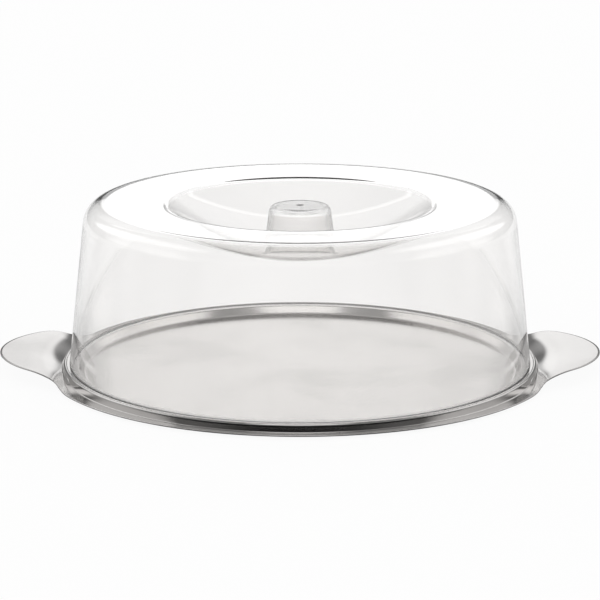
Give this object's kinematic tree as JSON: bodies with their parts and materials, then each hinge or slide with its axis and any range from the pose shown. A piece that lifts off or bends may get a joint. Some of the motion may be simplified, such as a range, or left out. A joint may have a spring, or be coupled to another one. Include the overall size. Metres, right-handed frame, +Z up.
{
  "type": "covered serving tray",
  "caption": "Round pressed steel serving tray with two flat side handles and a clear drum-shaped cover with a knob in its dished top, for serving and keeping cake.",
  "frame": {"origin": "centre of the tray's flat underside, on the surface it stands on", "axes": "+Z up, X through the two handles, Y across them"},
  "size_m": [0.389, 0.33, 0.1104],
  "materials": {
    "steel": "satin",
    "clear_plastic": "clear and glossy"
  },
  "bodies": {
    "root": {"tray": "steel", "cover": "clear_plastic"}
  },
  "joints": []
}
